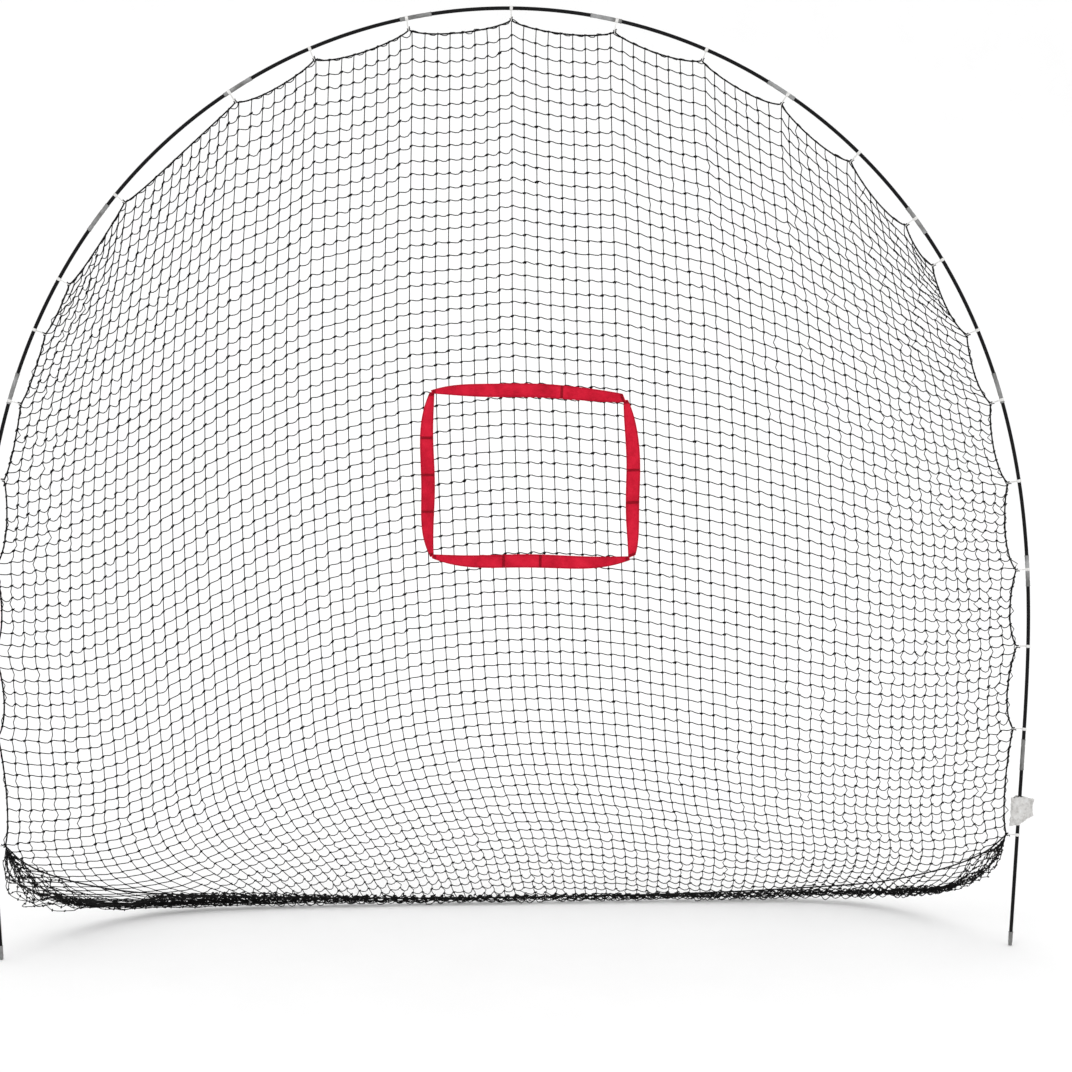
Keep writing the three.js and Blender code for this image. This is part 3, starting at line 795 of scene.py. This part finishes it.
def lay_net(rng):
    """The net's knots before it hangs: held by the ropes all round, and gathered at the hem."""
    path = hem_path()
    whole = run_along(path)[-1]
    top = border_point(np.linspace(LEFT_CORNER, RIGHT_CORNER, NET_CELLS + 1))
    left_rise = HEM_STEP * np.arange(1, BODY_ROWS - LEFT_KNOT_ROW + 1)
    right_rise = RIGHT_HEM_STEP * np.arange(1, BODY_ROWS - RIGHT_KNOT_ROW + 1)
    left_rope = border_point(side_stations(LEFT_CORNER, TIE_STATIONS[0], LEFT_KNOT_ROW))
    right_rope = border_point(side_stations(RIGHT_CORNER, TIE_STATIONS[-1], RIGHT_KNOT_ROW))
    left = np.vstack([left_rope, place_along(path, left_rise)])
    right = np.vstack([right_rope, place_along(path, whole - right_rise)])
    hem = place_along(path, np.linspace(left_rise[-1], whole - right_rise[-1], NET_CELLS + 1))
    entry = hem_entry()
    row = np.arange(BODY_ROWS + 1)[:, None]
    place = np.minimum(row / entry[None], 1)
    v = place[..., None]
    u = np.linspace(0, 1, NET_CELLS + 1)[None, :, None]
    corners = (1 - v) * ((1 - u) * top[0] + u * top[-1]) + v * ((1 - u) * hem[0] + u * hem[-1])
    sides = (1 - u) * sample_rows(left, place) + u * sample_rows(right, place)
    body = (1 - v) * top[None] + v * hem[None] + sides - corners
    sunk = np.maximum(row - entry[None], 0)
    waves = FOLDS[(sunk.astype(int) + 3) % len(FOLDS)] * (sunk > 0)
    body[..., 1] += FOLD_DEPTH * waves
    body[..., 2] += FOLD_RISE * np.minimum(sunk, 9)
    folded = []
    for k in range(HEM_ROWS):
        inset = HEM_STEP * (k + 1)
        ends = (left_rise[-1] + 0.4 * inset, whole - right_rise[-1] - inset)
        line = place_along(path, np.linspace(*ends, NET_CELLS + 1))
        outer = np.clip(np.abs(line[:, 0]), 0, 1) ** 2
        line[:, 1] += HEM_FOLD_DEPTH * (1 + outer) * FOLDS[k]
        fullness = np.interp(line[:, 0], [-0.5, 0.3], [1, 0.45])  # the right half lies flatter
        line[:, 2] += 0.003 + (0.0036 + 0.0026 * outer) * (k % 5) * fullness
        folded.append(line)
    net = np.vstack([body, np.array(folded)])
    gathered = np.arange(NET_ROWS + 1)[:, None] >= np.ceil(entry[None])
    messy = gathered * (0.35 + 0.65 * np.clip(np.abs(net[..., 0]), 0, 1))
    size = net.shape[:2]
    net[..., 0] += HEM_MESS[0] * smooth_noise(rng, size, (0, 1)) * messy
    net[..., 1] += HEM_MESS[1] * smooth_noise(rng, size, (0, 2)) * messy
    net[..., 1] += BODY_WAVER * smooth_noise(rng, size, (2, 2)) * ~gathered
    net[..., 2] += HEM_MESS[2] * np.abs(smooth_noise(rng, size, (0, 2))) * messy
    held = gathered.copy()
    held[0] = held[:, 0] = held[:, -1] = True
    for edge, line in ((0, left), (-1, right)):
        net[:BODY_ROWS + 1, edge] = line
    net[0] = top
    net[..., 2] = np.maximum(net[..., 2], FLOOR_GAP)
    return net, held


def pull(a, b, free_a, free_b, rest):
    """Draws in twines that are longer than their mesh, and eases out those that are folded up."""
    gap = b - a
    length = np.sqrt((gap * gap).sum(-1, keepdims=True)) + 1e-12
    change = np.maximum(length - rest, 0) + 0.08 * np.minimum(length - 0.8 * rest, 0)
    share = np.maximum(free_a + free_b, 1)
    move = gap * (change / length)
    a += move * (free_a / share)
    b -= move * (free_b / share)


def smooth_inside(net, free, share):
    """Moves each free knot some way to the middle of its four neighbours."""
    around = (net[:-2, 1:-1] + net[2:, 1:-1] + net[1:-1, :-2] + net[1:-1, 2:]) / 4
    net[1:-1, 1:-1] += share * free[1:-1, 1:-1] * (around - net[1:-1, 1:-1])


def pair_slices(length, first):
    """Every second neighbouring pair of a row, so that no knot is in two pairs."""
    end = first + (length - first) // 2 * 2
    return slice(first, end, 2), slice(first + 1, end, 2)


def hang_net(net, held):
    """Lets the net hang between the ropes. The rounds end with some twines still longer than their mesh."""
    free = (~held).astype(float)[..., None]
    for _ in range(SMOOTH_ROUNDS):
        smooth_inside(net, free, 0.5)
    down = np.linalg.norm(net[1:] - net[:-1], axis=-1, keepdims=True)
    across = np.linalg.norm(net[:, 1:] - net[:, :-1], axis=-1, keepdims=True)
    down, across = (np.clip(length * SPARE, SLACKEST * MESH, MESH) for length in (down, across))
    before = net.copy()
    for _ in range(RELAX_STEPS):
        moved = net - before
        before = net.copy()
        net += free * DAMPING * moved
        net[..., 2] -= GRAVITY_STEP * free[..., 0]
        smooth_inside(net, free, 0.02)
        for _ in range(RELAX_ROUNDS):
            for first in (0, 1):
                here, there = pair_slices(net.shape[0], first)
                pull(net[here], net[there], free[here], free[there], down[here])
                here, there = pair_slices(net.shape[1], first)
                pull(net[:, here], net[:, there], free[:, here], free[:, there], across[:, here])
        net[..., 2] = np.maximum(net[..., 2], FLOOR_GAP)
    return net


def twine_paths(ends_a, ends_b, bow, steps):
    """Points from knot to knot with a bow for the spare length, without the last knot."""
    part = (np.arange(steps) / steps)[:, None]
    gap = np.linalg.norm(ends_b - ends_a, axis=-1, keepdims=True)
    spare = np.minimum(0.5 * np.sqrt(np.maximum(MESH ** 2 - gap ** 2, 0)), MOST_TWINE_BOW)
    curve = 4 * part * (1 - part)
    return (ends_a[..., None, :] * (1 - part) + ends_b[..., None, :] * part
            + (spare * bow)[..., None, :] * curve)


def net_band(net, rng, name, first, last):
    """One band of rows: upright twines, cross twines that hook into the knots, and the knots."""
    band = Shell()
    upward = np.zeros_like(net)
    upward[1:-1] = net[:-2] - net[2:]
    upward[0], upward[-1] = net[0] - net[1], net[-2] - net[-1]
    upward = unit(upward)
    columns = net[first:last + 1].transpose(1, 0, 2)
    sway = rng.normal(size=columns[:, :-1].shape) * UPRIGHT_SWAY
    middle = twine_paths(columns[:, :-1], columns[:, 1:], sway, 2).reshape(NET_CELLS + 1, -1, 3)
    band.sweep(np.concatenate([middle, columns[:, -1:]], 1), UPRIGHT_TWINE_RADIUS, TWINE_SIDES)
    stop = last + 1 if last == NET_ROWS else last
    rows, up = net[first:stop], upward[first:stop]
    hook = HOOK_SIZE * (1 + 0.35 * rng.normal(size=rows.shape[:2]))[..., None]
    spans = rows[:, :-1].shape[:2]
    sag = np.stack([mean + spread * rng.normal(size=spans) for mean, spread in TWINE_SAG], -1)
    starts = rows[:, :-1] + hook[:, :-1] * up[:, :-1]
    ends = rows[:, 1:] - hook[:, 1:] * up[:, 1:]
    lifted = twine_paths(starts, ends, sag, 4)
    lifted[:, :, 1] += 0.35 * hook[:, :-1] * up[:, :-1]
    lifted[..., 2] = np.maximum(lifted[..., 2], FLOOR_GAP)
    cross = np.concatenate([lifted.reshape(len(rows), -1, 3), rows[:, -1:]], 1)
    band.sweep(cross, TWINE_RADIUS, TWINE_SIDES)
    level = np.zeros_like(rows)
    level[:, 1:-1] = rows[:, 2:] - rows[:, :-2]
    level[:, 0], level[:, -1] = rows[:, 1] - rows[:, 0], rows[:, -1] - rows[:, -2]
    level = unit(level)
    bulk = KNOT_RADIUS * (1 + 0.12 * rng.normal(size=rows.shape[:2]))[..., None]
    path = np.stack([rows + bulk * (a * level + b * up) for a, b in KNOT_TURNS], 2)
    radii = np.array([0.35, 1.0, 1.0, 0.35]) * bulk[..., 0].reshape(-1, 1)
    band.sweep(path.reshape(-1, 4, 3), radii, TWINE_SIDES)
    band.build(name, "net_twine", "hoop", ["netting"])


BUNDLE_STRANDS = 34
BUNDLE_STRAND_RADIUS = 0.00105
BUNDLE_STEP = 0.006
# From each corner knot: the least reach, then swellings as (reach, distance from the knot, spread).
LEFT_BUNDLE = (0.004, [(0.030, 0.20, 0.15), (0.007, 0.55, 0.30)])
RIGHT_BUNDLE = (0.003, [(0.016, 0.16, 0.11), (0.004, 0.45, 0.25)])


def bundle_reach(at, bundle):
    """How far the bundle's loops stray from the hem line: widest just below the corner knots."""
    least, swellings = bundle
    return least + sum(reach * np.exp(-((at - middle) / spread) ** 2) for reach, middle, spread in swellings)


def make_bundle():
    """Loose loops of twine along the hem line. They aren't joined to the net's own meshes."""
    rng = np.random.default_rng(31)
    path = hem_path()
    whole = run_along(path)[-1]
    bundle = Shell()
    for k in range(BUNDLE_STRANDS):
        from_left = k % 5 < 3
        reach = rng.uniform(0.40, 1.05) if from_left else rng.uniform(0.28, 0.60)
        start = rng.uniform(0, 0.05)
        at = np.arange(start, start + reach, BUNDLE_STEP)
        centre = place_along(path, at if from_left else whole - at)
        thick = bundle_reach(at, LEFT_BUNDLE if from_left else RIGHT_BUNDLE)
        wave = np.stack([smooth_noise(rng, (len(at),), (3,)) for _ in range(3)], 1)
        wander = np.stack([smooth_noise(rng, (len(at),), (16,)) for _ in range(3)], 1)
        offset = rng.uniform(-0.7, 0.7, 3) + np.array([0, 0, 0.45])
        spread = thick[:, None] * (0.28 * wave + 0.8 * wander + offset)
        line = centre + np.clip(at / 0.08, 0.08, 1)[:, None] * spread
        line[:, 2] = np.maximum(line[:, 2], FLOOR_GAP)
        bundle.sweep(line, BUNDLE_STRAND_RADIUS, TWINE_SIDES)
        for place in line[4:-4:5]:
            spin = rng.normal(size=3)
            knot = place + np.outer([-1.7, -0.5, 0.5, 1.7], unit(spin)) * KNOT_RADIUS
            knot[:, 2] = np.maximum(knot[:, 2], KNOT_RADIUS)
            bundle.sweep(knot, np.array([0.4, 1, 1, 0.4]) * KNOT_RADIUS, TWINE_SIDES)
    bundle.build("netting_bundle", "net_twine", "hoop", ["netting"])


NET_BANDS = [("netting_crown", 0, 20), ("netting_upper", 20, 41), ("netting_lower", 41, 62),
             ("netting_hem", 62, NET_ROWS)]


def make_net():
    rng = np.random.default_rng(5)
    net = hang_net(*lay_net(rng))
    for name, first, last in NET_BANDS:
        net_band(net, rng, name, first, last)
    make_bundle()
    return net


# ---- target strap
TARGET_INNER = [(-0.238, -0.193), (0.238, -0.197), (0.225, 0.184), (-0.238, 0.203)]
STRAP_WIDTH = 0.034
STRAP_ENDS = [(0.010, 0.010), (0.018, 0.011), (0.021, 0.008), (0.012, 0.009)]  # folded width at each end
STRAP_END_POWER = 5.5
STRAP_NARROWING = 0.16
STRAP_OVERLAP = 0.005
STRAP_MITER = 0.011
FRONT_REACH = (0.45, 0.42)
FRONT_BLUR = 0.022
STRAP_THICKNESS = 0.0014
STRAP_GAP = 0.0032
STRAP_STEPS = 72
STRAP_ACROSS = 9
STITCH_PITCH = 0.0056
STITCH_INSET = 0.0032
STITCH_RADIUS = 0.00038
BAR_ROWS = 5
BAR_ROW_PITCH = 0.0014
BAR_THREAD_RADIUS = 0.00055
# The places along each strap that are sewn across.
BARS = {
    "bottom_strap": (0.012, 0.36, 0.55, 0.988),
    "right_strap": (0.012, 0.35, 0.56, 0.988),
    "top_strap": (0.012, 0.33, 0.988),
    "left_strap": (0.012, 0.27, 0.50, 0.73, 0.988),
}


def net_front(net, x, z):
    """How far forward the net lies at each place, from its nearest knots."""
    knots = net[:BODY_ROWS].reshape(-1, 3)
    beside = np.abs(knots[:, 0] - TARGET_CENTRE[0]) < FRONT_REACH[0]
    near = knots[beside & (np.abs(knots[:, 2] - TARGET_CENTRE[1]) < FRONT_REACH[1])]
    far = (x[..., None] - near[:, 0]) ** 2 + (z[..., None] - near[:, 2]) ** 2
    weight = np.exp(-far / (2 * FRONT_BLUR ** 2))
    return (weight * near[:, 1]).sum(-1) / weight.sum(-1)


def strap_point(side, t, c, net):
    """A place on one strap. t runs along it, c across it from the inner edge (0) to the outer (1)."""
    start, end = np.array(TARGET_INNER[side]), np.array(TARGET_INNER[(side + 1) % 4])
    ahead = (end - start) / np.linalg.norm(end - start)
    outward = np.array([ahead[1], -ahead[0]])
    ends = np.abs(2 * t - 1) ** STRAP_END_POWER
    pinch = np.where(t < 0.5, STRAP_ENDS[side][0], STRAP_ENDS[side][1])
    bowed = 1 - STRAP_NARROWING * (2 * t - 1) ** 2
    width = pinch * ends + STRAP_WIDTH * bowed * (1 - ends)
    overlap = STRAP_OVERLAP * ends * np.sign(2 * t - 1)
    miter = (STRAP_MITER - pinch) * ends * np.sign(2 * t - 1)
    inner_bow = 0.002 * np.sin(TAU * (1.5 * t + 0.3 * side))
    flat = start + (end - start) * t[..., None] + outward * (width * c + inner_bow)[..., None]
    flat = flat + ahead * (overlap + miter * c)[..., None]
    x, z = flat[..., 0] + TARGET_CENTRE[0], flat[..., 1] + TARGET_CENTRE[1]
    pucker = 0.0012 * ends * np.sin(c * TAU * 1.5)
    pucker = pucker + 0.0011 * np.sin(TAU * (4.3 * t + 0.2 * side)) * (c - 0.5)
    over_neighbour = 0.0016 * (side % 2 == 0) * ends
    front = net_front(net, x, z) - STRAP_GAP - pucker - over_neighbour
    return np.stack([x, front, z], -1)


def make_target(net):
    names = ["bottom_strap", "right_strap", "top_strap", "left_strap"]
    thread = Shell()
    for side, name in enumerate(names):
        t = np.linspace(-0.012, 1.012, STRAP_STEPS)[:, None] * np.ones(STRAP_ACROSS)
        c = np.ones((STRAP_STEPS, 1)) * np.linspace(0, 1, STRAP_ACROSS)
        back = strap_point(side, np.clip(t, 0, 1), c, net)
        rim = 1 - np.abs(2 * c - 1) ** 8
        front = back - np.array([0, 1, 0]) * (STRAP_THICKNESS * (0.35 + 0.65 * rim))[..., None]
        along = run_along(back[:, STRAP_ACROSS // 2])
        strap = Shell()
        strap.slab(front, back, along, c[0] * STRAP_WIDTH, 0.001)
        strap.build(f"target_{name}", "target_webbing", "hoop", ["target_strap"])
        length = along[-1]
        count = int(length / STITCH_PITCH)
        middle = (np.arange(count) + 0.5) / count
        for inset in (STITCH_INSET, STRAP_WIDTH - STITCH_INSET):
            place = middle[:, None] + np.array([-0.40, -0.25, 0.25, 0.40]) * STITCH_PITCH / length
            path = strap_point(side, np.clip(place, 0, 1), np.full(place.shape, inset / STRAP_WIDTH), net)
            path[..., 1] -= STRAP_THICKNESS + np.array([-0.0004, 0.00025, 0.00025, -0.0004])
            thread.sweep(path, STITCH_RADIUS, 5)
        for where in BARS[name]:
            for row in range(BAR_ROWS):
                c_bar = np.linspace(0.02, 0.98, 10)
                t_bar = np.full(10, where + (row - BAR_ROWS // 2) * BAR_ROW_PITCH / length)
                path = strap_point(side, t_bar, c_bar, net)
                path[..., 1] -= STRAP_THICKNESS + 0.0002
                thread.sweep(path, BAR_THREAD_RADIUS, 5, across=(1, 0, 1))
    thread.build("target_stitching", "stitch", "hoop")


# ---- leg label
LABEL_FLAP = 0.0335  # how far the label's outer edge stands out from the leg
# Seen from above: the place outward of the leg, and behind it.
LABEL_OUTLINE = [(LABEL_FLAP, -0.0006), (0.024, -0.0012), (0.014, -0.0018), (0.0075, -0.0055),
                 (-0.001, -0.0072), (-0.011, -0.0068), (-0.0185, -0.0040), (-0.0205, 0.0),
                 (-0.0180, 0.0044), (-0.010, 0.0068), (-0.001, 0.0072), (0.0075, 0.0055),
                 (0.0135, 0.0016), (0.023, 0.0010), (0.0320, 0.0006)]
LABEL_ROWS = 56
LABEL_STEP = 0.0014
LABEL_THICKNESS = 0.00022
LABEL_CRUMPLE = 0.0024
LABEL_TAPER = 0.42
LABEL_SLANT = 0.12


def make_label():
    """A crumpled film label, folded round the leg with its two halves together as a flap."""
    rng = np.random.default_rng(23)
    outline = np.array([(o, y, 0) for o, y in LABEL_OUTLINE])
    outline = resample(smooth_path(outline, 2), LABEL_STEP)
    rows = LABEL_ROWS
    lines = len(outline)
    height = np.linspace(0, 1, rows)[:, None]
    outer = np.gradient(outline, axis=0)
    normal = unit(np.stack([outer[:, 1], -outer[:, 0], 0 * outer[:, 0]], -1))
    creases = smooth_noise(rng, (rows, lines), (3, 3)) + 0.6 * smooth_noise(rng, (rows, lines), (1, 1))
    creases += 0.9 * smooth_noise(rng, (rows, lines), (9, 2))
    near_pole = np.clip((np.abs(outline[:, 0]) - 0.004) / 0.01, 0.12, 1)
    push = LABEL_CRUMPLE * creases * near_pole
    flare = 1 + 0.10 * (2 * height - 1) ** 2
    edge = 0.0022 * smooth_noise(rng, (2, lines), (0, 2))
    sheet = outline[None] * flare[..., None] + push[..., None] * normal[None]
    outer_end = np.clip(outline[:, 0] / LABEL_FLAP, 0, 1)
    taper = 1 - LABEL_TAPER * outer_end
    lift = (0.5 + (height - 0.5) * taper + LABEL_SLANT * outline[:, 0] / LABEL_FLAP) * LABEL_HEIGHT
    lift = lift + edge[0] * (1 - height) ** 6 + edge[1] * height ** 6
    along = tangent_at(LABEL_START)
    outward = -inward_at(LABEL_START)
    start = hoop_point(LABEL_START + LABEL_HEIGHT)

    def place(points):
        return (start + points[..., :1] * outward + points[..., 1:2] * np.array([0, 1, 0])
                - lift[..., None] * along)

    run = run_along(outline)
    front, back = place(sheet), place(sheet - LABEL_THICKNESS * normal[None])
    label = Shell()
    label.slab(front, back, height[:, 0] * LABEL_HEIGHT, run, 0.0003)
    piece = label.build("leg_label_film", "label_film", "leg_label", ["leg_label"])


# ---- stage
FLOOR_FRONT = -9.0
FLOOR_BACK = 5.0
COVE_RADIUS = 3.0
BACKDROP_TOP = 9.0
FLOOR_HALF_WIDTH = 14
FLOOR_DROP = 0.0005


def make_stage():
    """The floor and the backdrop, joined by a quarter-round cove."""
    shell = Shell()
    bend = np.linspace(0, math.pi / 2, 14)[1:]
    cove = [(FLOOR_BACK + COVE_RADIUS * math.sin(a), COVE_RADIUS * (1 - math.cos(a))) for a in bend]
    line = [(FLOOR_FRONT, 0.0), (FLOOR_BACK, 0.0)] + cove + [(FLOOR_BACK + COVE_RADIUS, BACKDROP_TOP)]
    xs = np.linspace(-FLOOR_HALF_WIDTH, FLOOR_HALF_WIDTH, 3)
    grid = np.array([[[x, y, z - FLOOR_DROP] for x in xs] for y, z in line])
    shell.grid(grid[None], grid[None, ..., :2], False)
    points, quads = np.concatenate(shell.points), np.concatenate(shell.quads)
    mesh = bpy.data.meshes.new("floor_and_backdrop")
    mesh.from_pydata(points.tolist(), [], quads.tolist())
    for polygon in mesh.polygons:
        polygon.use_smooth = True
    mesh.materials.append(floor_material())
    floor = bpy.data.objects.new("floor_and_backdrop", mesh)
    bpy.context.scene.collection.objects.link(floor)


make_camera()
make_studio()
make_stage()
make_hoop()
make_shock_cord()
make_ropes()
make_ties()
net_knots = make_net()
make_target(net_knots)
make_label()
